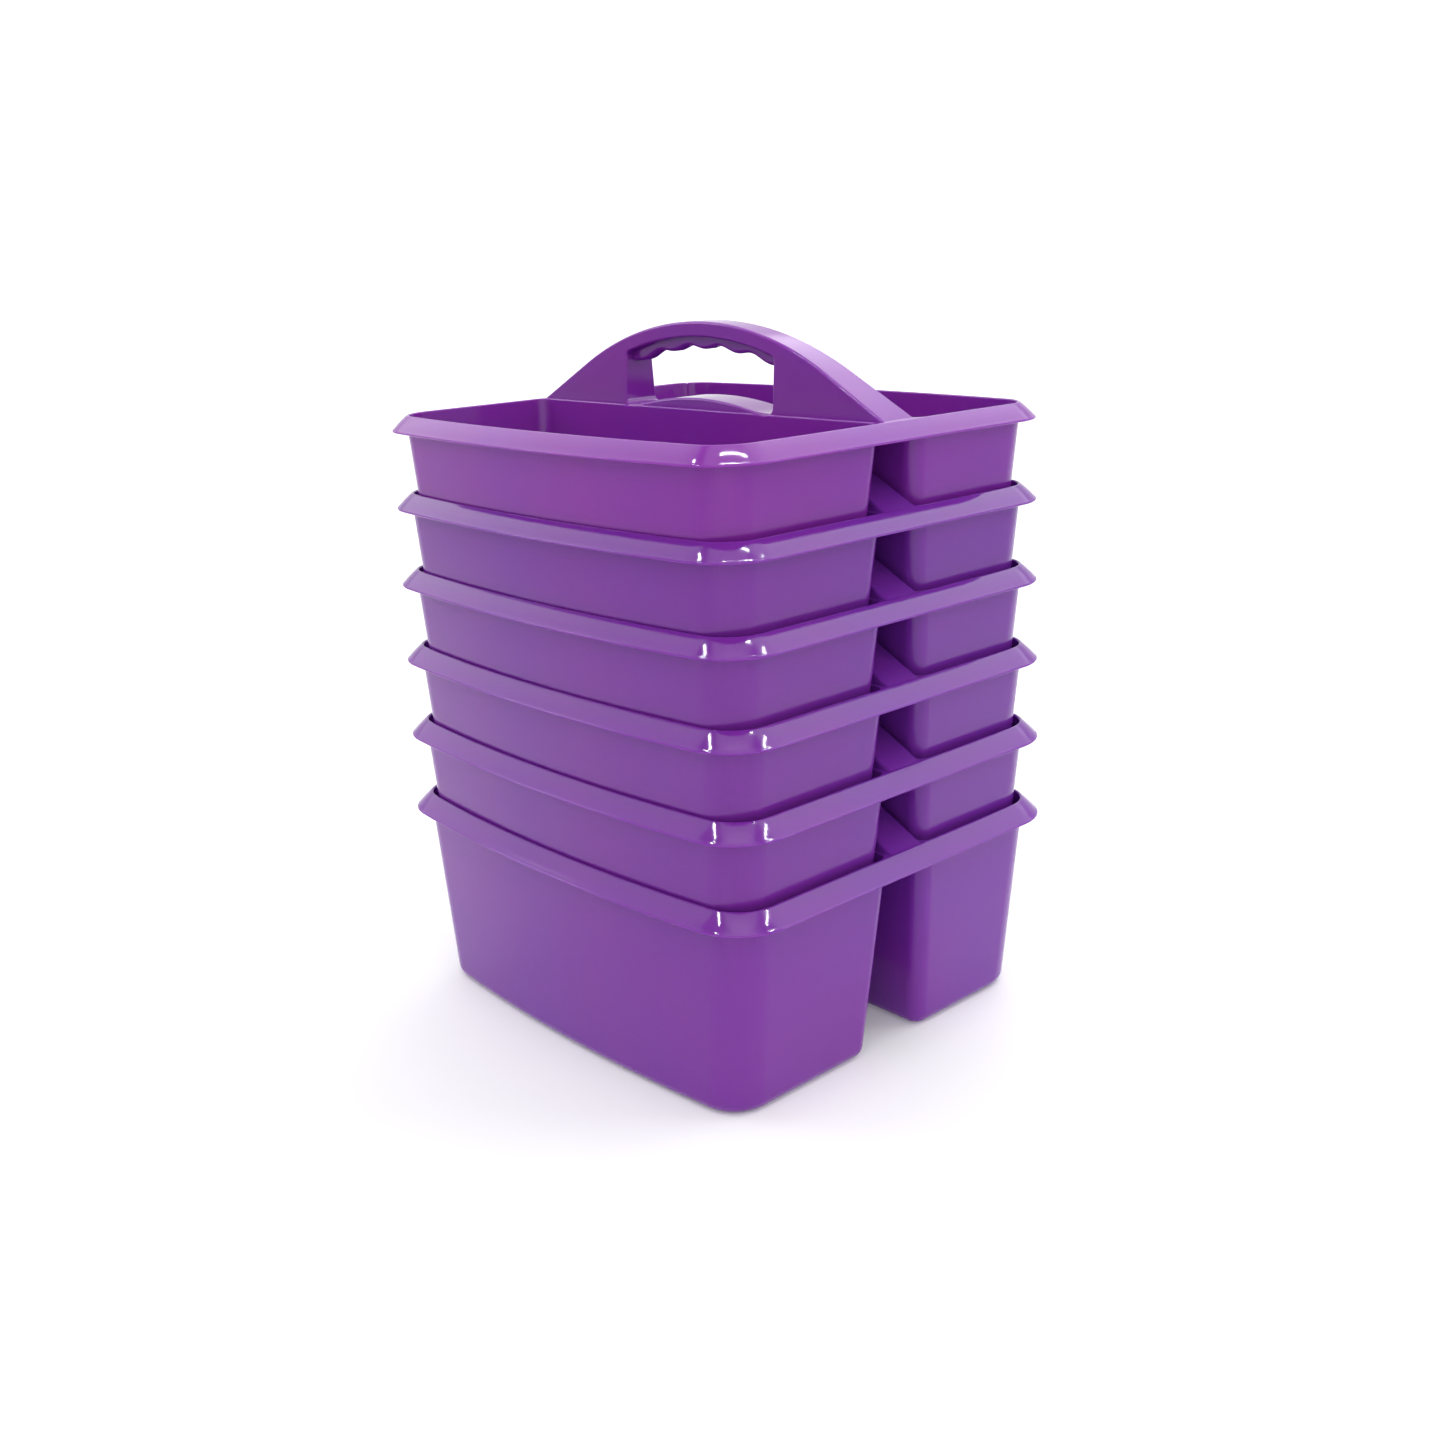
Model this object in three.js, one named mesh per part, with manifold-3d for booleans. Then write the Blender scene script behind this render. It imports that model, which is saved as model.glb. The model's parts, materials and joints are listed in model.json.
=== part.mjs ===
import * as THREE from "three";
import { mergeVertices } from "three/addons/utils/BufferGeometryUtils.js";
import Module from "manifold-3d";

// A nested stack of two-compartment cleaning caddies. Each caddy is one thin moulding: a front tub and a
// rear tub with an open gap between them, a sloping rim skirt round both, and an arched handle that stands
// over the gap. Millimetres, +Z up, +X along the handle. The origin is on the floor under the middle.

const CADDY_COUNT = 6;
const NEST_PITCH = 35.5; // how far each caddy stands above the one below

// Rim and tubs
const RIM_WIDTH = 235; // over the skirt, along X
const RIM_DEPTH = 210; // over the skirt, along Y, at the middle of the bowed sides
const SIDE_BOW = 8.4; // how far the long sides bulge out
const BODY_HEIGHT = 88.5; // floor to the crest of the rim
const WALL = 1.5;
const SKIRT_OUT = 7.2; // skirt's reach outward from the crest
const SKIRT_DROP = 7.3; // skirt's reach downward from the crest
const END_DRAFT = 0.12; // inward slope of the short end walls, per mm of depth
const SIDE_DRAFT = 0.055; // inward slope of the long side walls
const GAP_DRAFT = 0.07; // slope of the walls along the gap and of the handle's faces
const CORNER_RADIUS = 17.8; // vertical outer corners of a tub, outside
const GAP_CORNER_RADIUS = 7; // vertical corners beside the gap, outside
const BOTTOM_RADIUS = 5; // edge between wall and floor, outside
const CREST = 0.8; // inner wall's distance inside the crest line

// Divider and handle
const DIVIDER_Y = 3.5; // middle of the gap and of the handle
const HANDLE_HALF_THICKNESS = 9.35; // at rim level
const HANDLE_RISE = 38.3; // top of the arch above the rim
const ARCH_RADIUS = 160;
const LEG_SLOPE = 0.508; // steepest slope of the arch, in radians, from where it runs straight to the rim
const NEST_CLEARANCE = 0.4; // between the arch below and the hump over it

// Hand hole and finger grip
const HOLE_HALF_WIDTH = 48;
const HOLE_BELOW_ARCH = 6.8; // depth of the bar above the hole
const GRIP_HALF_THICKNESS = 3.4;
const GRIP_DEPTH = 4.8; // mean depth of the grip below the bar
const GRIP_WAVE = 0.9; // finger waves, up and down from the mean
const FINGER_PITCH = 20;

// How finely the curves are cut
const CORNER_STEPS = 4;
const GAP_CORNER_STEPS = 3;
const BOW_STEPS = 6;
const ARCH_STEPS = 24;
const GRIP_STEPS_PER_FINGER = 5;

const CREST_HALF_WIDTH = RIM_WIDTH / 2 - SKIRT_OUT;
const CREST_HALF_DEPTH = RIM_DEPTH / 2 - SKIRT_OUT;
const LIP_BOW_RADIUS = ((RIM_WIDTH / 2) ** 2 + SIDE_BOW ** 2) / (2 * SIDE_BOW);
const BOW_CENTRE = LIP_BOW_RADIUS - RIM_DEPTH / 2;
const ARCH_CENTRE = HANDLE_RISE - ARCH_RADIUS;

const wasm = await Module();
wasm.setup();

// Points of an arc from one angle to another, both ends included.
function arc(centreX, centreY, radius, from, to, steps) {
  const points = [];
  for (let i = 0; i <= steps; i += 1) {
    const angle = from + ((to - from) * i) / steps;
    points.push([centreX + radius * Math.cos(angle), centreY + radius * Math.sin(angle)]);
  }
  return points;
}

// The bowed front edge with its two rounded corners, from the left end round to the right end. Distances
// outward are measured from the crest line of the rim, at the ends and at the bowed side.
function frontEdge(outwardAtEnds, outwardAtSide, cornerRadius) {
  const halfWidth = CREST_HALF_WIDTH + outwardAtEnds;
  const bowRadius = BOW_CENTRE + CREST_HALF_DEPTH + outwardAtSide;
  const cornerX = halfWidth - cornerRadius;
  const cornerY = BOW_CENTRE - Math.sqrt((bowRadius - cornerRadius) ** 2 - cornerX ** 2);
  const tangent = Math.atan2(cornerY - BOW_CENTRE, cornerX);
  const left = arc(-cornerX, cornerY, cornerRadius, -Math.PI, -Math.PI - tangent, CORNER_STEPS);
  const bow = arc(0, BOW_CENTRE, bowRadius, -Math.PI - tangent, tangent, BOW_STEPS).slice(1, -1);
  const right = arc(cornerX, cornerY, cornerRadius, tangent, 0, CORNER_STEPS);
  return [...left, ...bow, ...right];
}

// Outline of the whole rim, a distance outward of its crest line.
function rimOutline(outward) {
  const front = frontEdge(outward, outward, CORNER_RADIUS + outward);
  const rear = front.map(([x, y]) => [-x, -y]);
  return [...front, ...rear];
}

// One tub's outline at a height, an inset inside the wall's outer face: the bowed edge, then the straight
// side along the gap. side is -1 for the front tub and 1 for the rear one.
function tubOutline(side, z, inset) {
  const depth = BODY_HEIGHT - z;
  const outwardAtEnds = WALL - CREST - END_DRAFT * depth - inset;
  const outwardAtSide = WALL - CREST - SIDE_DRAFT * depth - inset;
  const gapFace = HANDLE_HALF_THICKNESS + GAP_DRAFT * depth + inset;
  const gapRadius = GAP_CORNER_RADIUS - inset;
  const cornerX = CREST_HALF_WIDTH + outwardAtEnds - gapRadius;
  const cornerY = -gapFace - side * DIVIDER_Y - gapRadius;
  const front = frontEdge(outwardAtEnds, outwardAtSide, CORNER_RADIUS - inset);
  const right = arc(cornerX, cornerY, gapRadius, 0, Math.PI / 2, GAP_CORNER_STEPS);
  const left = arc(-cornerX, cornerY, gapRadius, Math.PI / 2, Math.PI, GAP_CORNER_STEPS);
  const points = [...front, ...right, ...left];
  return side < 0 ? points : points.map(([x, y]) => [-x, -y]);
}

// A closed triangle list becomes a manifold solid once its shared corners are merged.
function solidFrom(positions) {
  const geometry = new THREE.BufferGeometry();
  geometry.setAttribute("position", new THREE.Float32BufferAttribute(positions, 3));
  const merged = mergeVertices(geometry, 1e-4);
  return new wasm.Manifold(new wasm.Mesh({
    numProp: 3,
    vertProperties: new Float32Array(merged.attributes.position.array),
    triVerts: new Uint32Array(merged.index.array),
  }));
}

function pushQuad(positions, a, b, c, d) {
  positions.push(...a, ...b, ...c, ...a, ...c, ...d);
}

// Solid through a stack of outlines with equal numbers of points, flat at both ends.
function loft(levels) {
  const positions = [];
  const rings = levels.map(({ z, outline }) => outline.map(([x, y]) => [x, y, z]));
  const count = rings[0].length;
  for (let level = 0; level + 1 < rings.length; level += 1) {
    for (let i = 0; i < count; i += 1) {
      const next = (i + 1) % count;
      pushQuad(positions, rings[level][i], rings[level][next], rings[level + 1][next], rings[level + 1][i]);
    }
  }
  const bottom = rings[0];
  const top = rings[rings.length - 1];
  for (let i = 1; i + 1 < count; i += 1) {
    positions.push(...bottom[0], ...bottom[i + 1], ...bottom[i]);
    positions.push(...top[0], ...top[i], ...top[i + 1]);
  }
  return solidFrom(positions);
}

// Ring that carries a closed section of [outward, height] points round the rim.
function sweepRoundRim(section) {
  const positions = [];
  const loops = section.map(([outward, z]) => rimOutline(outward).map(([x, y]) => [x, y, z]));
  loops.forEach((loop, j) => {
    const above = loops[(j + 1) % loops.length];
    for (let i = 0; i < loop.length; i += 1) {
      const next = (i + 1) % loop.length;
      pushQuad(positions, loop[i], loop[next], above[next], above[i]);
    }
  });
  return solidFrom(positions);
}

// Solid with an [x, z] outline, running along Y through the middle of the gap.
function alongY(outline, halfThickness) {
  const shape = new THREE.Shape(outline.map(([x, z]) => new THREE.Vector2(x, z)));
  const geometry = new THREE.ExtrudeGeometry(shape, { depth: 2 * halfThickness, bevelEnabled: false });
  geometry.rotateX(Math.PI / 2);
  geometry.translate(0, DIVIDER_Y + halfThickness, 0);
  return solidFrom([...geometry.attributes.position.array]);
}

// Wedge along X whose two faces lean in with the draft. Its half thickness is the one at rim level.
function leaningWedge(halfThickness, bottomZ, topZ) {
  const levels = [bottomZ, topZ].map((z) => {
    const half = halfThickness - GAP_DRAFT * (z - BODY_HEIGHT);
    const reach = RIM_WIDTH / 2;
    const outline = [[-reach, -half], [reach, -half], [reach, half], [-reach, half]];
    return { z, outline: outline.map(([x, y]) => [x, y + DIVIDER_Y]) };
  });
  return loft(levels);
}

// Height of the arch over the rim, for the outer surface or for one a given depth under it. The middle
// follows a circle and the legs are straight.
function archHeight(x, depth = 0) {
  const radius = ARCH_RADIUS - depth;
  const across = Math.abs(x);
  const onCircle = across < radius * Math.sin(LEG_SLOPE);
  const aboveCentre = onCircle
    ? Math.sqrt(radius ** 2 - x ** 2)
    : (radius - across * Math.sin(LEG_SLOPE)) / Math.cos(LEG_SLOPE);
  return ARCH_CENTRE + aboveCentre;
}

// Distance from the middle at which a leg of that surface comes down to a height over the rim.
function legReach(height, depth = 0) {
  return (ARCH_RADIUS - depth - (height - ARCH_CENTRE) * Math.cos(LEG_SLOPE)) / Math.sin(LEG_SLOPE);
}

// [x, z] points of a curve over the rim, left to right.
function curve(fromX, toX, steps, height) {
  const points = [];
  for (let i = 0; i <= steps; i += 1) {
    const x = fromX + ((toX - fromX) * i) / steps;
    points.push([x, BODY_HEIGHT + height(x)]);
  }
  return points;
}

// Outside of a tub as a solid block, up to just under the skirt.
function tubBlock(side) {
  const atHeight = (z, inset) => ({ z, outline: tubOutline(side, z, inset) });
  const half = BOTTOM_RADIUS * (1 - Math.SQRT1_2);
  return loft([
    atHeight(0, BOTTOM_RADIUS),
    atHeight(half, half),
    atHeight(BOTTOM_RADIUS, 0),
    atHeight(BODY_HEIGHT - 0.6 * WALL, 0),
  ]);
}

// Inside of a tub, running out past the rim.
function tubCavity(side) {
  const atHeight = (z, inset) => ({ z, outline: tubOutline(side, z, inset) });
  return loft([
    atHeight(WALL, BOTTOM_RADIUS),
    atHeight(BOTTOM_RADIUS, WALL),
    atHeight(BODY_HEIGHT + WALL, WALL),
  ]);
}

// Sloping skirt round the rim, with a blunt lower lip.
function rimSkirt() {
  const crest = 0.3;
  const slope = (SKIRT_DROP - crest - 0.5) / (SKIRT_OUT - crest);
  const under = WALL * Math.hypot(1, slope);
  const underReach = crest + (SKIRT_DROP - under) / slope;
  const section = [
    [-CREST - 0.7, 0],
    [-CREST - 0.7, -WALL],
    [crest, -under],
    [underReach, -SKIRT_DROP],
    [SKIRT_OUT - 0.4, -SKIRT_DROP],
    [SKIRT_OUT, -(SKIRT_DROP - 0.8)],
    [crest, 0],
  ];
  return sweepRoundRim(section.map(([outward, z]) => [outward, BODY_HEIGHT + z]));
}

// Arched handle as a solid, standing on a shelf that joins the tubs' walls along the gap.
function handleBlock() {
  const reach = legReach(0);
  const outline = [
    [reach, BODY_HEIGHT - WALL],
    ...curve(reach, -reach, ARCH_STEPS, (x) => archHeight(x)),
    [-reach, BODY_HEIGHT - WALL],
  ].reverse();
  const arch = alongY(outline, 2 * HANDLE_HALF_THICKNESS)
    .intersect(leaningWedge(HANDLE_HALF_THICKNESS, BODY_HEIGHT - 2 * WALL, BODY_HEIGHT + HANDLE_RISE + 1));
  const shelfOutline = [
    [-reach, BODY_HEIGHT - WALL],
    [reach, BODY_HEIGHT - WALL],
    [reach, BODY_HEIGHT],
    [-reach, BODY_HEIGHT],
  ];
  return arch.add(alongY(shelfOutline, HANDLE_HALF_THICKNESS + 3 * WALL));
}

// Hollow of one leg of the handle, open to the gap below. side is -1 for the left leg and 1 for the right.
function legHollow(side) {
  const inner = HOLE_HALF_WIDTH + WALL;
  const outer = legReach(-WALL, WALL);
  const bottom = BODY_HEIGHT - 2 * WALL;
  const outline = [
    [inner, bottom],
    [outer, bottom],
    ...curve(outer, inner, ARCH_STEPS / 4, (x) => archHeight(x, WALL)),
  ].map(([x, z]) => [side * x, z]);
  if (side < 0) outline.reverse();
  return alongY(outline, 2 * HANDLE_HALF_THICKNESS)
    .intersect(leaningWedge(HANDLE_HALF_THICKNESS - WALL, bottom - 1, BODY_HEIGHT + HANDLE_RISE));
}

// Room under the hand hole's floor for the arch of the caddy below.
function nestRecess() {
  const under = (x) => Math.max(-WALL, archHeight(x) - NEST_PITCH + NEST_CLEARANCE);
  const reach = HOLE_HALF_WIDTH;
  const bottom = BODY_HEIGHT - 2 * WALL;
  const outline = [
    [-reach, bottom],
    [reach, bottom],
    ...curve(reach, -reach, ARCH_STEPS / 2, under),
  ];
  return alongY(outline, 2 * HANDLE_HALF_THICKNESS)
    .intersect(leaningWedge(HANDLE_HALF_THICKNESS - WALL, bottom - 1, BODY_HEIGHT + HANDLE_RISE));
}

// Hand hole right through the handle, over a floor that humps up in the middle.
function handHole() {
  const floor = (x) => Math.max(0, archHeight(x) - NEST_PITCH + NEST_CLEARANCE + WALL);
  const reach = HOLE_HALF_WIDTH;
  const outline = [
    ...curve(-reach, reach, ARCH_STEPS / 2, floor),
    ...curve(reach, -reach, ARCH_STEPS / 2, (x) => archHeight(x, HOLE_BELOW_ARCH)),
  ];
  return alongY(outline, 2 * HANDLE_HALF_THICKNESS);
}

// Finger grip under the bar, thinner than the bar, with a waved lower edge.
function fingerGrip() {
  const waves = (2 * HOLE_HALF_WIDTH) / FINGER_PITCH;
  const lower = (x) => (
    archHeight(x, HOLE_BELOW_ARCH + GRIP_DEPTH) - GRIP_WAVE * Math.cos((2 * Math.PI * x) / FINGER_PITCH)
  );
  const reach = HOLE_HALF_WIDTH + 0.5 * WALL;
  const outline = [
    ...curve(-reach, reach, Math.round(waves * GRIP_STEPS_PER_FINGER), lower),
    ...curve(reach, -reach, ARCH_STEPS / 2, (x) => archHeight(x, 0.5 * HOLE_BELOW_ARCH)),
  ];
  return alongY(outline, GRIP_HALF_THICKNESS);
}

function caddySolid() {
  return tubBlock(-1)
    .add(tubBlock(1))
    .add(rimSkirt())
    .add(handleBlock())
    .subtract(tubCavity(-1))
    .subtract(tubCavity(1))
    .subtract(legHollow(-1))
    .subtract(legHollow(1))
    .subtract(nestRecess())
    .subtract(handHole())
    .add(fingerGrip());
}

function geometryFrom(solid) {
  const mesh = solid.getMesh();
  const geometry = new THREE.BufferGeometry();
  geometry.setAttribute("position", new THREE.BufferAttribute(mesh.vertProperties, 3));
  geometry.setIndex(new THREE.BufferAttribute(mesh.triVerts, 1));
  geometry.computeVertexNormals();
  return geometry;
}

function purplePlastic() {
  return new THREE.MeshStandardMaterial({ color: 0x7a3f98, roughness: 0.35, metalness: 0 });
}

const caddyGeometry = geometryFrom(caddySolid());
const stack = new THREE.Group();
for (let level = 0; level < CADDY_COUNT; level += 1) {
  const caddy = new THREE.Mesh(caddyGeometry, purplePlastic());
  caddy.name = `caddy_${level + 1}`;
  caddy.position.z = level * NEST_PITCH;
  stack.add(caddy);
}

export default stack;
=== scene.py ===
"""Looks for the nested stack of cleaning caddies: fine moulded meshes, purple plastic, studio and camera."""

import json
import math

import bmesh
import bpy
from mathutils import Matrix, Vector

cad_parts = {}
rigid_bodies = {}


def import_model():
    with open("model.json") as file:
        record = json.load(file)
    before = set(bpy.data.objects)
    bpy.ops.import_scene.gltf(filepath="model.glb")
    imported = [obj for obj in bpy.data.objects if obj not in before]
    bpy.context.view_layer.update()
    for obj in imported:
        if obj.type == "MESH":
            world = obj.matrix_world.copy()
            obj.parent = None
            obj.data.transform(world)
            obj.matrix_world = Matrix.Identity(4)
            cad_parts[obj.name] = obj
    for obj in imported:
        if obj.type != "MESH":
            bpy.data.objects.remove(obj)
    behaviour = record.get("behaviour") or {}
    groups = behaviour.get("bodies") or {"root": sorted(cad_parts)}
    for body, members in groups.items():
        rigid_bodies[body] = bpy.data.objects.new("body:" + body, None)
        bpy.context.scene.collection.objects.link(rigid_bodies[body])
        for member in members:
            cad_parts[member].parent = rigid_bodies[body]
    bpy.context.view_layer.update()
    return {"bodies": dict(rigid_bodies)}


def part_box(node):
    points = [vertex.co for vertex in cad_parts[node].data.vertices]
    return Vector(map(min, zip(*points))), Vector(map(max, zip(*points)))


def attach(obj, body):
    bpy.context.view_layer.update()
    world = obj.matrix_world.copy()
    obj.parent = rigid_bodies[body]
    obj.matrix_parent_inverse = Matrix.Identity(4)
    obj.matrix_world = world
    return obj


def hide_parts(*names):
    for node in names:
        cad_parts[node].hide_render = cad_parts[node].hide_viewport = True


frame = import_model()

MM = 0.001  # metres

# Driving dimensions in millimetres, in a caddy's own frame, which has z = 0 where it stands. The overall ones
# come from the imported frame.
BODIES = sorted(frame["bodies"])
LOW, HIGH = (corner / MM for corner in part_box(BODIES[0]))
RIM_WIDTH = HIGH.x - LOW.x
RIM_DEPTH = HIGH.y - LOW.y
HANDLE_RISE = 38.3  # top of the arch above the rim
BODY_HEIGHT = HIGH.z - LOW.z - HANDLE_RISE
NEST_PITCH = (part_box(BODIES[1])[0].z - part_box(BODIES[0])[0].z) / MM

# Rim and tubs
SIDE_BOW = 8.4  # how far the long sides bulge out
WALL = 1.5
SKIRT_OUT = 7.2  # skirt's reach outward from the crest
SKIRT_DROP = 7.3  # skirt's reach downward from the crest
CREST = 0.8  # inner wall's distance inside the crest line
END_DRAFT = 0.12  # inward slope of the short end walls, per mm of depth
SIDE_DRAFT = 0.055  # inward slope of the long side walls
GAP_DRAFT = 0.07  # slope of the walls along the gap and of the handle's faces
CORNER_RADIUS = 17.8
GAP_CORNER_RADIUS = 7
BOTTOM_RADIUS = 5
BLOCK_BELOW_RIM = 0.6 * WALL  # where the tubs' blocks end, within the thickness of the skirt
SHELF_OVERLAP = 3 * WALL  # how far the shelf runs into the tubs, before their insides are cut out

# Divider and handle
DIVIDER_Y = 3.5  # middle of the gap and of the handle
HANDLE_HALF_THICKNESS = 9.35  # at rim level
ARCH_RADIUS = 160
LEG_SLOPE = 0.508  # in radians, from where the arch runs straight to the rim
FOOT_OVERRUN = 1.2  # how far the handle's feet run on into the skirt
NEST_CLEARANCE = 0.4  # between the arch below and the hump over it
HUMP_SHOULDER = 1.2  # softness of the hump's shoulders
HUMP_END = -20  # where the hump would be lower than this over the rim, the floor is flat

# Hand hole and finger grip
HOLE_HALF_WIDTH = 48
HOLE_BELOW_ARCH = 6.8  # depth of the bar above the hole
HOLE_CORNER_RADIUS = 2.5
GRIP_HALF_THICKNESS = 3.4
GRIP_DEPTH = 4.8  # mean depth of the grip below the bar
GRIP_WAVE = 0.9  # finger waves, up and down from the mean
FINGER_PITCH = 20

# Edge roundings and the fine shape of the skirt, in millimetres
RIM_EDGE = 0.6  # between the rim and the inside of a tub
CREST_EDGE = 1.0  # crest of the skirt
LIP_EDGE = 0.6  # lip of the skirt
LIP_BAND = 0.9  # width of the band along the lip
LIP_BULGE = 0.008  # how far the band's middle stands out
LIP_FLARE = 0.01  # how much less steep the band is than the skirt, in radians
SKIRT_BULGE = 0.16  # how far the skirt's middle stands out
BAND_EDGE = 1.3  # edges of the handle's top
FOOT_EDGE = 0.2  # the same edges where the feet end
FOOT_EDGE_SHARE = 0.6  # the most that an edge takes of a foot's height
HOLE_EDGE = 1.0  # edges of the hand hole
GRIP_EDGE = 1.6  # lower edges of the finger grip
SHARP_ANGLE = 32  # angle between two faces, in degrees, from which their edge stays sharp

# How finely the curves are cut
CORNER_STEPS = 14
GAP_CORNER_STEPS = 9
BOW_STEPS = 36
ARCH_STEPS = 120
EDGE_STEPS = 5
FILLET_STEPS = 7
SKIRT_STEPS = 8

CREST_HALF_WIDTH = RIM_WIDTH / 2 - SKIRT_OUT
CREST_HALF_DEPTH = RIM_DEPTH / 2 - SKIRT_OUT
LIP_BOW_RADIUS = ((RIM_WIDTH / 2) ** 2 + SIDE_BOW**2) / (2 * SIDE_BOW)
BOW_CENTRE = LIP_BOW_RADIUS - RIM_DEPTH / 2
ARCH_CENTRE = HANDLE_RISE - ARCH_RADIUS

# Camera: angles in degrees, distances in metres, lens and sensor in millimetres, shift in picture widths
CAMERA_AZIMUTH = 47.932
CAMERA_ELEVATION = 9.148
CAMERA_ROLL = -2.116
CAMERA_DISTANCE = 0.7172
CAMERA_AIM = 0.2227  # height of the point on the stack's axis that it looks at
CAMERA_LENS = 40.065
CAMERA_SENSOR = 36
CAMERA_SHIFT = (0.0079, -0.15)
CAMERA_CLIP = 0.01

# Plastic. A dye is the two colours that the plastic drifts between, and a noise is its scale, per metre, and
# its detail.
LOWER_DYE = ((0.154, 0.022, 0.310), (0.178, 0.022, 0.296))
# The top caddy's dye is warmer and brighter than the others': painted light, for the light from above that
# shines through its thin walls, which the nested caddies don't get.
TOP_DYE_PAINTED_LIGHT = ((0.190, 0.022, 0.330), (0.218, 0.022, 0.311))
DRIFT_NOISE = (14, 3)
POLISH = (0.06, 0.11)  # lowest and highest roughness
POLISH_NOISE = (45, 4)
NOISE_RANGE = (0.3, 0.7)  # the noise values that give the two colours, or the two roughnesses
GRAIN_NOISE = (1100, 2)
GRAIN_STRENGTH = 0.25
GRAIN_DEPTH = 0.00004  # metres
PLASTIC_IOR = 1.4
SUBSURFACE_WEIGHT = 0.6
SUBSURFACE_RADIUS = (1.0, 0.5, 0.9)  # how far red, green and blue go in, in units of the scale
SUBSURFACE_SCALE = 0.003  # metres

# Floor: distances in metres
FLOOR_REACH = 40
FLOOR_ROUGHNESS = 0.7
FLOOR_GLOW = 0.11  # light that it gives off itself
FLOOR_WHITE = (0.80, 0.51)  # its white near the stack, and outside the picture
FLOOR_FADE = (0.40, 0.90)  # where the fade between the two starts and ends
FLOOR_WEDGE = 0.43  # what a metre toward the camera counts for in the fade, against a metre sideways

# Strip lights: their ends in metres to the camera's right and toward the camera
STRIPS = {
    "overhead": ((-0.13, 0.26), (0.66, 0.16)),
    "left": ((-0.90, 0.0), (-0.92, 0.6)),
    "right": ((1.15, 0.0), (1.12, 0.6)),
}
STRIP_HEIGHT = 1.75
STRIP_WIDTH = 0.07
STRIP_AIM = HIGH.z * MM  # height that they face, the top of the lowest caddy
STRIP_POWER = 200  # watts per square metre


# Outlines


def spread(start, end, steps):
    """Evenly spaced values, both ends included."""
    return [start + (end - start) * i / steps for i in range(steps + 1)]


def arc(centre, radius, start, end, steps):
    """Points of an arc from one angle to another, both ends included."""
    angles = spread(start, end, steps)
    return [(centre[0] + radius * math.cos(a), centre[1] + radius * math.sin(a)) for a in angles]


def quarter(steps):
    """(run, rise) pairs of a quarter round of radius 1, from upright to level."""
    return [(1 - math.cos(a), math.sin(a)) for a in spread(0, math.pi / 2, steps)]


def front_edge(outward_at_ends, outward_at_side, corner_radius):
    """The bowed front edge with its two rounded corners, at distances outward of the rim's crest line."""
    half_width = CREST_HALF_WIDTH + outward_at_ends
    bow_radius = BOW_CENTRE + CREST_HALF_DEPTH + outward_at_side
    corner_x = half_width - corner_radius
    corner_y = BOW_CENTRE - math.sqrt((bow_radius - corner_radius) ** 2 - corner_x**2)
    tangent = math.atan2(corner_y - BOW_CENTRE, corner_x)
    left = arc((-corner_x, corner_y), corner_radius, -math.pi, -math.pi - tangent, CORNER_STEPS)
    bow = arc((0, BOW_CENTRE), bow_radius, -math.pi - tangent, tangent, BOW_STEPS)[1:-1]
    right = arc((corner_x, corner_y), corner_radius, tangent, 0, CORNER_STEPS)
    return left + bow + right


def rim_outline(outward):
    """The whole rim's outline at a distance outward of its crest line."""
    front = front_edge(outward, outward, CORNER_RADIUS + outward)
    return front + [(-x, -y) for x, y in front]


def tub_ring(side, z, inset):
    """One tub's outline, an inset inside the wall's outer face. side is -1 for the front, 1 for the rear."""
    depth = BODY_HEIGHT - z
    at_ends = WALL - CREST - END_DRAFT * depth - inset
    at_side = WALL - CREST - SIDE_DRAFT * depth - inset
    gap_face = HANDLE_HALF_THICKNESS + GAP_DRAFT * depth + inset
    gap_radius = GAP_CORNER_RADIUS - inset
    corner_x = CREST_HALF_WIDTH + at_ends - gap_radius
    corner_y = -gap_face - side * DIVIDER_Y - gap_radius
    right = arc((corner_x, corner_y), gap_radius, 0, math.pi / 2, GAP_CORNER_STEPS)
    left = arc((-corner_x, corner_y), gap_radius, math.pi / 2, math.pi, GAP_CORNER_STEPS)
    points = front_edge(at_ends, at_side, CORNER_RADIUS - inset) + right + left
    return [(-side * x, -side * y, z) for x, y in points]


def arch_height(x, depth=0):
    """Height over the rim of the handle's top, or of a surface at a depth under it. Its legs are straight."""
    radius = ARCH_RADIUS - depth
    if abs(x) < radius * math.sin(LEG_SLOPE):
        return ARCH_CENTRE + math.sqrt(radius**2 - x * x)
    return ARCH_CENTRE + (radius - abs(x) * math.sin(LEG_SLOPE)) / math.cos(LEG_SLOPE)


def arch_slope(x):
    """Slope of the handle's top, in radians."""
    return min(LEG_SLOPE, math.asin(min(1, abs(x) / ARCH_RADIUS)))


def leg_reach(height, depth=0):
    """Distance from the middle at which a leg comes down to a height, on the surface at a depth."""
    return (ARCH_RADIUS - depth - (height - ARCH_CENTRE) * math.cos(LEG_SLOPE)) / math.sin(LEG_SLOPE)


def circle_reach(height):
    """Distance from the middle at which the handle's round top comes down to a height."""
    return math.sqrt(ARCH_RADIUS**2 - (height - ARCH_CENTRE) ** 2)


def half_thickness(height, inset=0):
    """Half the handle's thickness at a height over the rim, less an inset."""
    return HANDLE_HALF_THICKNESS - inset - GAP_DRAFT * height


# Solids


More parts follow.
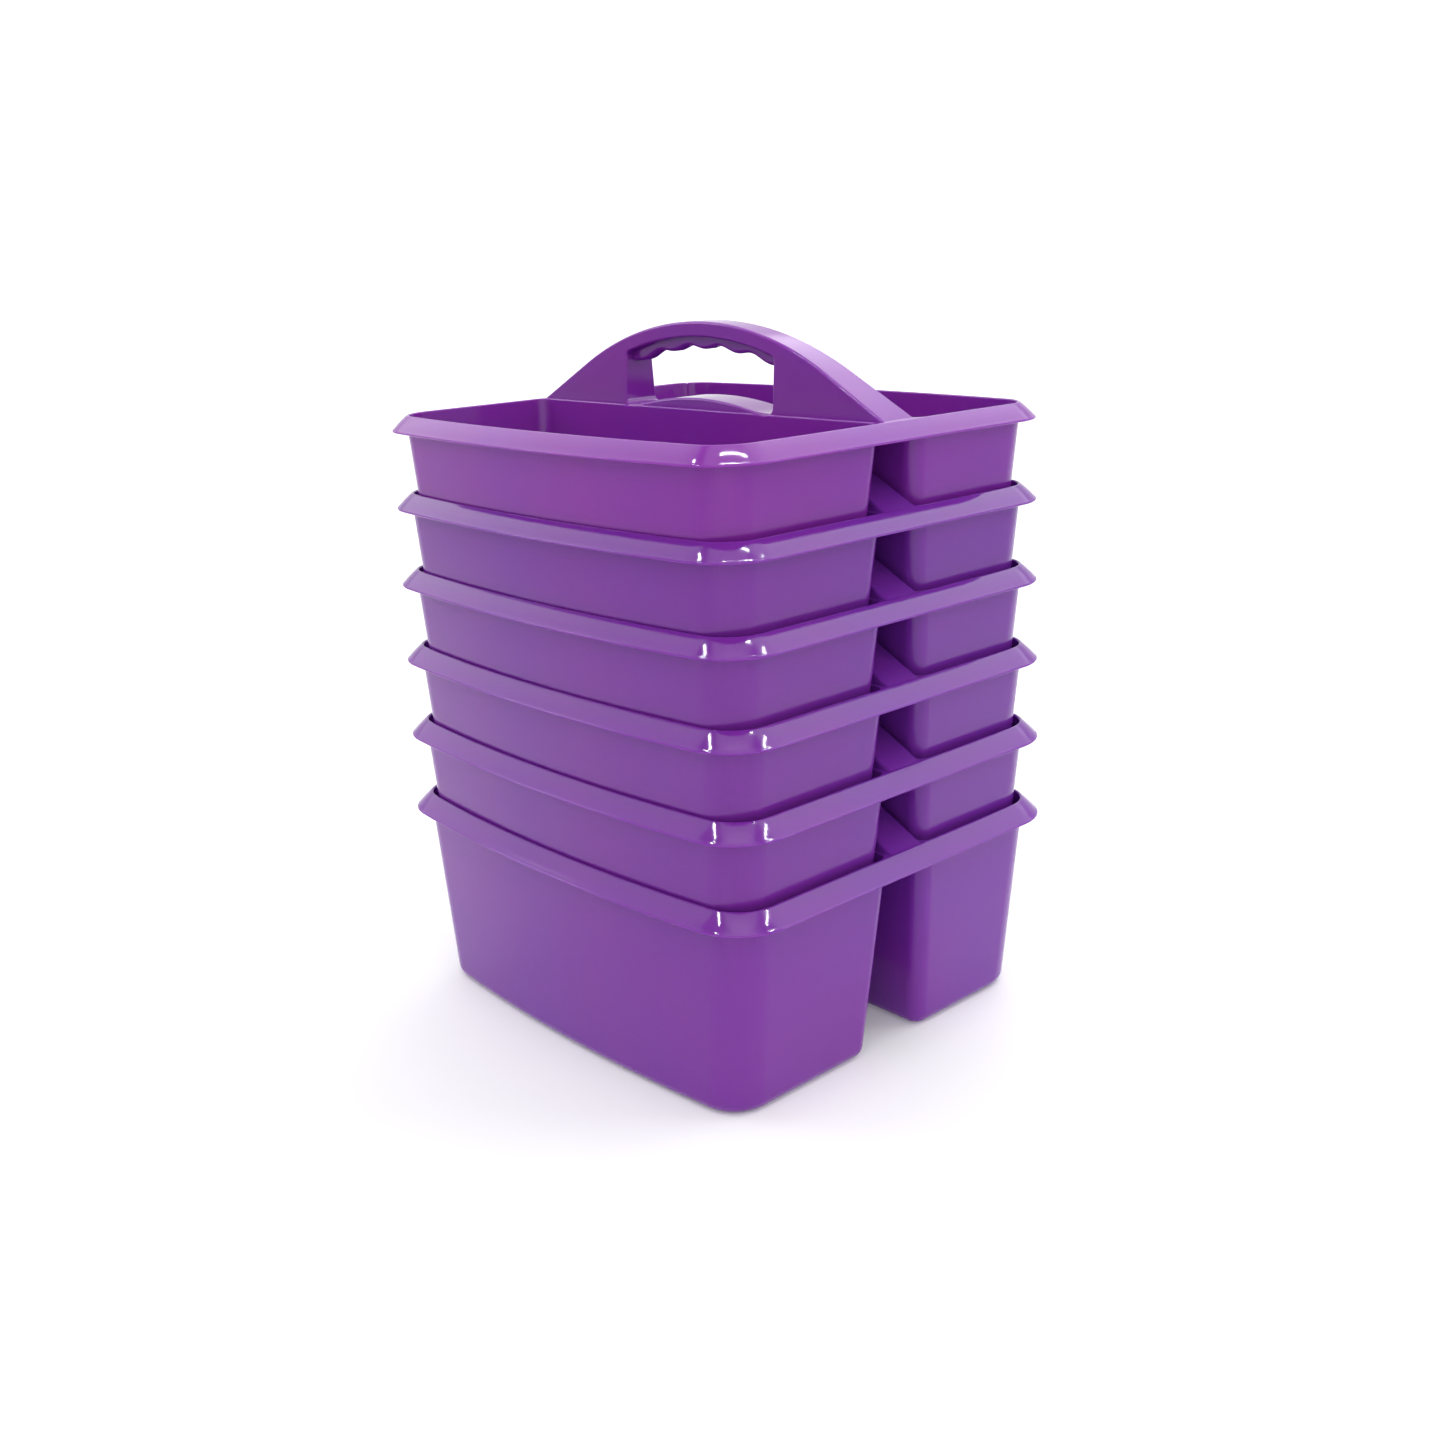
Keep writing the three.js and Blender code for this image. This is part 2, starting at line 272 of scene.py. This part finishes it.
def solid(name, rings, closed=False):
    """Object through rings of (x, y, z) points in mm, capped unless the last ring joins the first."""
    count = len(rings[0])
    vertices = [[c * MM for c in point] for ring in rings for point in ring]
    faces = []
    for level in range(len(rings) if closed else len(rings) - 1):
        here = level * count
        above = (level + 1) % len(rings) * count
        for i in range(count):
            j = (i + 1) % count
            faces.append((here + i, here + j, above + j, above + i))
    if not closed:
        faces.append(tuple(range(count)))
        faces.append(tuple(range((len(rings) - 1) * count, len(rings) * count)))
    mesh = bpy.data.meshes.new(name)
    mesh.from_pydata(vertices, [], faces)
    shape = bmesh.new()
    shape.from_mesh(mesh)
    bmesh.ops.recalc_face_normals(shape, faces=shape.faces)
    shape.to_mesh(mesh)
    shape.free()
    piece = bpy.data.objects.new(name, mesh)
    bpy.context.scene.collection.objects.link(piece)
    return piece


def tub_block(side):
    """Outside of a tub, rounded along the floor, up to just under the skirt."""
    rounding = [(BOTTOM_RADIUS * run, BOTTOM_RADIUS * (1 - rise)) for run, rise in quarter(FILLET_STEPS)]
    rings = [tub_ring(side, z, inset) for z, inset in rounding]
    return solid("tub_block", rings + [tub_ring(side, BODY_HEIGHT - BLOCK_BELOW_RIM, 0)])


def tub_cavity(side):
    """Inside of a tub, rounded along its floor and flaring over the rim's edge."""
    fillet = BOTTOM_RADIUS - WALL
    edge = BODY_HEIGHT - RIM_EDGE
    levels = [(WALL + fillet * run, WALL + fillet * (1 - rise)) for run, rise in quarter(FILLET_STEPS)]
    levels += [(edge + RIM_EDGE * rise, WALL - RIM_EDGE * run) for run, rise in quarter(EDGE_STEPS)]
    levels.append((BODY_HEIGHT + WALL, WALL - RIM_EDGE))
    return solid("tub_cavity", [tub_ring(side, z, inset) for z, inset in levels])


def bulged(start, end, bulge, steps):
    """Points between two ends of a line, pushed out to its left, without the ends."""
    run, rise = end[0] - start[0], end[1] - start[1]
    length = math.hypot(run, rise)
    points = []
    for t in spread(0, 1, steps)[1:-1]:
        push = 4 * bulge * t * (1 - t) / length
        points.append((start[0] + t * run - push * rise, start[1] + t * rise + push * run))
    return points


def rim_skirt():
    """Sloping skirt round the rim: rounded crest, faintly crowned face, and a band flared along the lip."""
    # Centres of the crest's and the lip's roundings, as (outward of the crest line, over the rim)
    crest = (0, -CREST_EDGE)
    lip = (SKIRT_OUT - LIP_EDGE, -SKIRT_DROP + LIP_EDGE)
    run, drop = lip[0] - crest[0], crest[1] - lip[1]
    slope = math.atan2(drop, run) + math.asin((CREST_EDGE - LIP_EDGE) / math.hypot(run, drop))
    normal = math.pi / 2 - slope
    flared = slope - LIP_FLARE
    # How far the two bulges turn at their ends
    skirt_turn = 4 * SKIRT_BULGE / math.hypot(run, drop)
    band_turn = 4 * LIP_BULGE / LIP_BAND
    over_crest = arc(crest, CREST_EDGE, math.pi / 2, normal + skirt_turn, EDGE_STEPS)
    round_lip = arc(lip, LIP_EDGE, math.pi / 2 - flared - band_turn, normal - math.pi, 2 * EDGE_STEPS)
    band_top = (round_lip[0][0] - LIP_BAND * math.cos(flared), round_lip[0][1] + LIP_BAND * math.sin(flared))
    sloping = bulged(over_crest[-1], band_top, SKIRT_BULGE, SKIRT_STEPS)
    lip_band = bulged(band_top, round_lip[0], LIP_BULGE, EDGE_STEPS)
    # The inner face lies a wall's thickness under the outer one
    under = WALL - CREST_EDGE
    inner_corner = (crest[0] - under * math.sin(slope), crest[1] - under * math.cos(slope))
    root = -2 * CREST  # past the wall's inner face, where the tub's inside cuts it off
    outside = over_crest + sloping + [band_top] + lip_band + round_lip
    section = [(root, 0)] + outside + [inner_corner, (root, inner_corner[1])]
    rings = []
    for outward, height in section:
        rings.append([(x, y, BODY_HEIGHT + height) for x, y in rim_outline(outward)])
    return solid("rim_skirt", rings, closed=True)


def along_handle(name, stations, section):
    """Solid along X. section(x) gives one face's (half thickness, height) points from the bottom up."""
    rings = []
    for x in stations:
        face = section(x)
        right = [(x, DIVIDER_Y + half, BODY_HEIGHT + height) for half, height in face]
        left = [(x, DIVIDER_Y - half, BODY_HEIGHT + height) for half, height in reversed(face)]
        rings.append(right + left)
    return solid(name, rings)


def handle_arch():
    """The handle as a solid bar with a rounded top band, its legs running down into the skirt."""
    reach = leg_reach(0) + FOOT_OVERRUN

    def section(x):
        top = arch_height(x)
        bottom = min(-WALL, top - WALL)
        edge = max(FOOT_EDGE, min(BAND_EDGE, FOOT_EDGE_SHARE * (top + WALL)))
        stretch = 1 / math.cos(arch_slope(x))  # keeps the edge round across the slope
        start = top - edge * stretch
        rounding = [
            (half_thickness(start) - edge * run, start + edge * stretch * rise)
            for run, rise in quarter(EDGE_STEPS)
        ]
        return [(half_thickness(bottom), bottom)] + rounding

    return along_handle("handle_arch", spread(-reach, reach, ARCH_STEPS), section)


def shelf():
    """Flat strip that joins the two tubs' walls along the gap, under the handle."""
    reach = CREST_HALF_WIDTH - CREST
    half = HANDLE_HALF_THICKNESS + SHELF_OVERLAP
    return along_handle("shelf", [-reach, reach], lambda x: [(half, -WALL), (half, 0)])


def hollow_under(name, start, end, steps, top):
    """Hollow inside the handle, open below, up to a height top(x)."""

    def section(x):
        bottom = -2 * WALL
        return [(half_thickness(z, WALL), z) for z in (bottom, top(x))]

    return along_handle(name, spread(start, end, steps), section)


def leg_hollow(side):
    """Hollow inside one leg of the handle. side is -1 for the left, 1 for the right."""
    outer = leg_reach(-WALL, WALL)
    inner = HOLE_HALF_WIDTH + WALL
    steps = ARCH_STEPS // 4
    return hollow_under("leg_hollow", side * inner, side * outer, steps, lambda x: arch_height(x, WALL))


def nest_recess():
    """Room under the hand hole's floor for the handle of the caddy below."""
    rise = NEST_PITCH - NEST_CLEARANCE
    reach = circle_reach(rise - WALL)
    return hollow_under("nest_recess", -reach, reach, ARCH_STEPS // 2, lambda x: arch_height(x) - rise)


def hump_height(x):
    """The hand hole's floor: flat at rim level, with a soft-shouldered hump over the handle below."""
    hump = arch_height(x) - NEST_PITCH + NEST_CLEARANCE + WALL
    return 0.5 * (hump + math.hypot(hump, HUMP_SHOULDER)) if hump > HUMP_END else 0


def hole_outline():
    """The hand hole's (x, height over the rim) outline: humped floor, rounded corners and arched top."""
    corner = HOLE_CORNER_RADIUS
    corner_x = HOLE_HALF_WIDTH - corner
    top_radius = ARCH_RADIUS - HOLE_BELOW_ARCH
    top_corner = (corner_x, ARCH_CENTRE + math.sqrt((top_radius - corner) ** 2 - corner_x**2))
    turn = math.atan2(top_corner[1] - ARCH_CENTRE, corner_x)
    level = hump_height(corner_x)
    floor = [(x, hump_height(x)) for x in spread(-corner_x, corner_x, ARCH_STEPS)]
    low_right = arc((corner_x, level + corner), corner, -math.pi / 2, 0, EDGE_STEPS)[1:]
    high_right = arc(top_corner, corner, 0, turn, EDGE_STEPS)
    top = arc((0, ARCH_CENTRE), top_radius, turn, math.pi - turn, ARCH_STEPS)[1:-1]
    high_left = [(-x, z) for x, z in reversed(high_right)]
    low_left = [(-x, z) for x, z in reversed(low_right)]
    return floor + low_right + high_right + top + high_left + low_left


def grown(outline, distance):
    """The closed outline moved outward along its own normals."""
    points = []
    for i, (x, z) in enumerate(outline):
        before = outline[i - 1]
        after = outline[(i + 1) % len(outline)]
        along = (after[0] - before[0], after[1] - before[1])
        length = math.hypot(*along)
        points.append((x + distance * along[1] / length, z - distance * along[0] / length))
    return points


def hand_hole():
    """Cutter for the hand hole, flaring out to the handle's two leaning faces."""
    outline = hole_outline()
    flare = [(HOLE_EDGE * (rise - 1), HOLE_EDGE * run) for run, rise in quarter(EDGE_STEPS)]
    flare.append((2 * WALL, HOLE_EDGE))

    def ring(side, proud, growth):
        points = grown(outline, growth)
        return [(x, DIVIDER_Y + side * (half_thickness(z) + proud), BODY_HEIGHT + z) for x, z in points]

    rear = [ring(1, proud, growth) for proud, growth in flare]
    front = [ring(-1, proud, growth) for proud, growth in reversed(flare)]
    return solid("hand_hole", front + rear)


def finger_grip():
    """Waved grip under the bar, thinner than the bar, with a rounded lower edge."""
    reach = HOLE_HALF_WIDTH + 0.5 * WALL
    columns = spread(-reach, reach, 2 * ARCH_STEPS)
    top = [(x, arch_height(x, 0.5 * HOLE_BELOW_ARCH)) for x in reversed(columns)]

    def lower(x, inset):
        wave = GRIP_WAVE * math.cos(2 * math.pi * x / FINGER_PITCH)
        return arch_height(x, HOLE_BELOW_ARCH + GRIP_DEPTH) - wave + inset

    def ring(y, inset):
        outline = [(x, lower(x, inset)) for x in columns] + top
        return [(x, DIVIDER_Y + y, BODY_HEIGHT + z) for x, z in outline]

    flat = GRIP_HALF_THICKNESS - GRIP_EDGE
    rounding = [(flat + GRIP_EDGE * rise, GRIP_EDGE * run) for run, rise in quarter(EDGE_STEPS)]
    rear = [ring(y, inset) for y, inset in rounding]
    front = [ring(-y, inset) for y, inset in reversed(rounding)]
    return solid("finger_grip", front + rear)


def combine(base, steps):
    """Runs a list of (operation, piece) booleans on base and removes the pieces."""
    for operation, piece in steps:
        cut = base.modifiers.new(operation, "BOOLEAN")
        cut.operation = operation
        cut.solver = "MANIFOLD"
        cut.object = piece
    mesh = bpy.data.meshes.new_from_object(base.evaluated_get(bpy.context.evaluated_depsgraph_get()))
    for piece in [base] + [piece for _, piece in steps]:
        bpy.data.objects.remove(piece)
    return mesh


def caddy_mesh():
    """One caddy's moulding."""
    return combine(tub_block(-1), [
        ("UNION", tub_block(1)),
        ("UNION", rim_skirt()),
        ("UNION", shelf()),
        ("UNION", handle_arch()),
        ("DIFFERENCE", tub_cavity(-1)),
        ("DIFFERENCE", tub_cavity(1)),
        ("DIFFERENCE", leg_hollow(-1)),
        ("DIFFERENCE", leg_hollow(1)),
        ("DIFFERENCE", nest_recess()),
        ("DIFFERENCE", hand_hole()),
        ("UNION", finger_grip()),
    ])


def smooth_shading(mesh):
    """Smooth normals that stay flat on broad faces and break at real edges."""
    mesh.shade_smooth()
    mesh.set_sharp_from_angle(angle=math.radians(SHARP_ANGLE))
    carrier = bpy.data.objects.new("carrier", mesh)
    bpy.context.scene.collection.objects.link(carrier)
    weighted = carrier.modifiers.new("weighted", "WEIGHTED_NORMAL")
    weighted.keep_sharp = True
    result = bpy.data.meshes.new_from_object(carrier.evaluated_get(bpy.context.evaluated_depsgraph_get()))
    bpy.data.objects.remove(carrier)
    result.materials.clear()
    result.name = "caddy_moulding"
    return result


# Shader nodes


def node_material(name):
    """New material, its node tree and its shader."""
    material = bpy.data.materials.new(name)
    material.use_nodes = True
    return material, material.node_tree, material.node_tree.nodes["Principled BSDF"]


def map_range(tree, value, source, target):
    """Node that runs over the target range as the value runs over the source range, and stops at its ends."""
    mapping = tree.nodes.new("ShaderNodeMapRange")
    mapping.inputs["From Min"].default_value, mapping.inputs["From Max"].default_value = source
    mapping.inputs["To Min"].default_value, mapping.inputs["To Max"].default_value = target
    tree.links.new(value, mapping.inputs["Value"])
    return mapping


def reach_along(tree, place, direction):
    """Value of how far a place lies along a direction."""
    dot = tree.nodes.new("ShaderNodeVectorMath")
    dot.operation = "DOT_PRODUCT"
    dot.inputs[1].default_value = direction
    tree.links.new(place, dot.inputs[0])
    return dot.outputs["Value"]


def computed(tree, operation, first, second):
    """Value of a maths operation on two values."""
    node = tree.nodes.new("ShaderNodeMath")
    node.operation = operation
    tree.links.new(first, node.inputs[0])
    tree.links.new(second, node.inputs[1])
    return node.outputs["Value"]


# Plastic


def purple_plastic(name, dye):
    """Dyed polypropylene: a glossy skin with slow colour drift, uneven polish and a fine moulded texture."""
    material, tree, shader = node_material(name)
    shader.inputs["IOR"].default_value = PLASTIC_IOR
    shader.inputs["Subsurface Weight"].default_value = SUBSURFACE_WEIGHT
    shader.inputs["Subsurface Radius"].default_value = SUBSURFACE_RADIUS
    shader.inputs["Subsurface Scale"].default_value = SUBSURFACE_SCALE
    place = tree.nodes.new("ShaderNodeTexCoord").outputs["Object"]

    def noise(scale, detail):
        texture = tree.nodes.new("ShaderNodeTexNoise")
        texture.inputs["Scale"].default_value = scale
        texture.inputs["Detail"].default_value = detail
        tree.links.new(place, texture.inputs["Vector"])
        return texture.outputs["Fac"]

    drift = tree.nodes.new("ShaderNodeValToRGB")
    for element, position, color in zip(drift.color_ramp.elements, NOISE_RANGE, dye):
        element.position = position
        element.color = (*color, 1)
    tree.links.new(noise(*DRIFT_NOISE), drift.inputs["Fac"])
    tree.links.new(drift.outputs["Color"], shader.inputs["Base Color"])
    polish = map_range(tree, noise(*POLISH_NOISE), NOISE_RANGE, POLISH)
    tree.links.new(polish.outputs["Result"], shader.inputs["Roughness"])
    grain = tree.nodes.new("ShaderNodeBump")
    grain.inputs["Strength"].default_value = GRAIN_STRENGTH
    grain.inputs["Distance"].default_value = GRAIN_DEPTH
    tree.links.new(noise(*GRAIN_NOISE), grain.inputs["Height"])
    tree.links.new(grain.outputs["Normal"], shader.inputs["Normal"])
    return material


# Studio


def toward(sideways, forward, height):
    """Point in the studio, from metres to the camera's right, toward the camera and up."""
    azimuth = math.radians(CAMERA_AZIMUTH)
    along = Vector((math.cos(azimuth), math.sin(azimuth), 0))
    front = Vector((math.sin(azimuth), -math.cos(azimuth), 0))
    return sideways * along + forward * front + Vector((0, 0, height))


def floor_white():
    """White light table, less white outside the picture's wedge of floor, so that the walls reflect less."""
    material, tree, shader = node_material("floor_white")
    shader.inputs["Roughness"].default_value = FLOOR_ROUGHNESS
    shader.inputs["Emission Color"].default_value = (1, 1, 1, 1)
    shader.inputs["Emission Strength"].default_value = FLOOR_GLOW
    place = tree.nodes.new("ShaderNodeTexCoord").outputs["Object"]
    right, left = (reach_along(tree, place, toward(side, FLOOR_WEDGE, 0)) for side in (1, -1))
    fade = map_range(tree, computed(tree, "MAXIMUM", right, left), FLOOR_FADE, FLOOR_WHITE)
    tree.links.new(fade.outputs["Result"], shader.inputs["Base Color"])
    return material


def add_floor():
    """Square floor, far wider than the picture."""
    mesh = bpy.data.meshes.new("floor")
    signs = [(-1, -1), (1, -1), (1, 1), (-1, 1)]
    mesh.from_pydata([(FLOOR_REACH * x, FLOOR_REACH * y, 0) for x, y in signs], [], [(0, 1, 2, 3)])
    floor = bpy.data.objects.new("floor", mesh)
    floor.data.materials.append(floor_white())
    bpy.context.scene.collection.objects.link(floor)


def add_strip(name, start, end):
    """Narrow strip light between two points, shining at the stack and seen only in the gloss."""
    lamp = bpy.data.lights.new(name, "AREA")
    lamp.shape = "RECTANGLE"
    lamp.size, lamp.size_y = (end - start).length, STRIP_WIDTH
    lamp.energy = STRIP_POWER * lamp.size * lamp.size_y
    strip = bpy.data.objects.new(name, lamp)
    strip.visible_diffuse = False
    middle = (start + end) / 2
    x_axis = (end - start).normalized()
    z_axis = (middle - Vector((0, 0, STRIP_AIM))).normalized()
    y_axis = z_axis.cross(x_axis).normalized()
    z_axis = x_axis.cross(y_axis)
    strip.matrix_world = Matrix.Translation(middle) @ Matrix((x_axis, y_axis, z_axis)).transposed().to_4x4()
    bpy.context.scene.collection.objects.link(strip)


def add_lights():
    """Strips high over the stack, for the sharp glints on the front corners of its rims."""
    for name, (start, end) in STRIPS.items():
        add_strip(name, toward(*start, STRIP_HEIGHT), toward(*end, STRIP_HEIGHT))


def add_camera():
    """Normal lens from the front right, a little above the top rim, tipped by the picture's slight roll."""
    azimuth, elevation, roll = (math.radians(a) for a in (CAMERA_AZIMUTH, CAMERA_ELEVATION, CAMERA_ROLL))
    level = math.cos(elevation)
    back = Vector((math.sin(azimuth) * level, -math.cos(azimuth) * level, math.sin(elevation)))
    right = (-back).cross(Vector((0, 0, 1))).normalized()
    up = right.cross(-back)
    rolled_right = math.cos(roll) * right + math.sin(roll) * up
    rolled_up = math.cos(roll) * up - math.sin(roll) * right
    data = bpy.data.cameras.new("camera")
    data.sensor_width = CAMERA_SENSOR
    data.lens = CAMERA_LENS
    data.shift_x, data.shift_y = CAMERA_SHIFT
    data.clip_start = CAMERA_CLIP
    camera = bpy.data.objects.new("camera", data)
    axes = Matrix((rolled_right, rolled_up, back)).transposed().to_4x4()
    camera.matrix_world = Matrix.Translation(Vector((0, 0, CAMERA_AIM)) + CAMERA_DISTANCE * back) @ axes
    bpy.context.scene.collection.objects.link(camera)
    bpy.context.scene.camera = camera


def softboxes():
    """The studio's lights: direction, degrees off it where the light is full and where it ends, strength."""
    return [
        ((-0.73, -0.17, 0.66), 20, 26, 1.2),  # left
        ((0.20, 0.65, 0.73), 18, 28, 2.1),  # right
        ((-0.45, 0.66, 0.60), 9, 15, 1.8),  # behind
        (toward(0, 0.15, 1), 18, 26, 1.4),  # overhead
        (toward(0, 1, 0.7), 30, 45, 0.9),  # in front
        ((-0.74, -0.50, 0.40), 7, 9, 5),  # small and bright, low on the left
        ((0.66, 0.64, 0.38), 7, 9, 5),  # small and bright, low on the right
    ]


def add_world():
    """White studio, brighter behind the stack, with the softboxes added to it."""
    world = bpy.data.worlds.new("studio")
    world.use_nodes = True
    tree = world.node_tree
    direction = tree.nodes.new("ShaderNodeTexCoord").outputs["Generated"]

    def glow(aim, full, end, strength, elsewhere=0):
        """Brightness that falls smoothly between two angles off the aim, from strength to elsewhere's."""
        cosine = reach_along(tree, direction, Vector(aim).normalized())
        edges = [math.cos(math.radians(angle)) for angle in (end, full)]
        mapping = map_range(tree, cosine, edges, (elsewhere, strength))
        mapping.interpolation_type = "SMOOTHSTEP"
        return mapping.outputs["Result"]

    total = glow(toward(0, -1, 0), full=45, end=85, strength=1.1, elsewhere=0.55)
    for aim, full, end, strength in softboxes():
        total = computed(tree, "ADD", total, glow(aim, full, end, strength))
    background = tree.nodes["Background"]
    background.inputs["Color"].default_value = (1, 1, 1, 1)
    tree.links.new(total, background.inputs["Strength"])
    bpy.context.scene.world = world


# Stack


def add_caddies():
    """The stack. All caddies have one shape, and the top one has a warmer, brighter dye, which paints the
    light that shines through its walls from above.
    """
    lower = smooth_shading(caddy_mesh())
    top = lower.copy()
    lower.materials.append(purple_plastic("purple_plastic", LOWER_DYE))
    # The top caddy's own copy of the plastic, with painted light in its dye.
    top.materials.append(purple_plastic("purple_plastic_top_painted_light", TOP_DYE_PAINTED_LIGHT))
    for body in BODIES:
        piece = bpy.data.objects.new(f"{body}_moulding", top if body == BODIES[-1] else lower)
        piece.location.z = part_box(body)[0].z
        bpy.context.scene.collection.objects.link(piece)
        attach(piece, body)
        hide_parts(body)


add_caddies()
add_floor()
add_world()
add_lights()
add_camera()
bpy.context.scene.view_settings.view_transform = "Standard"
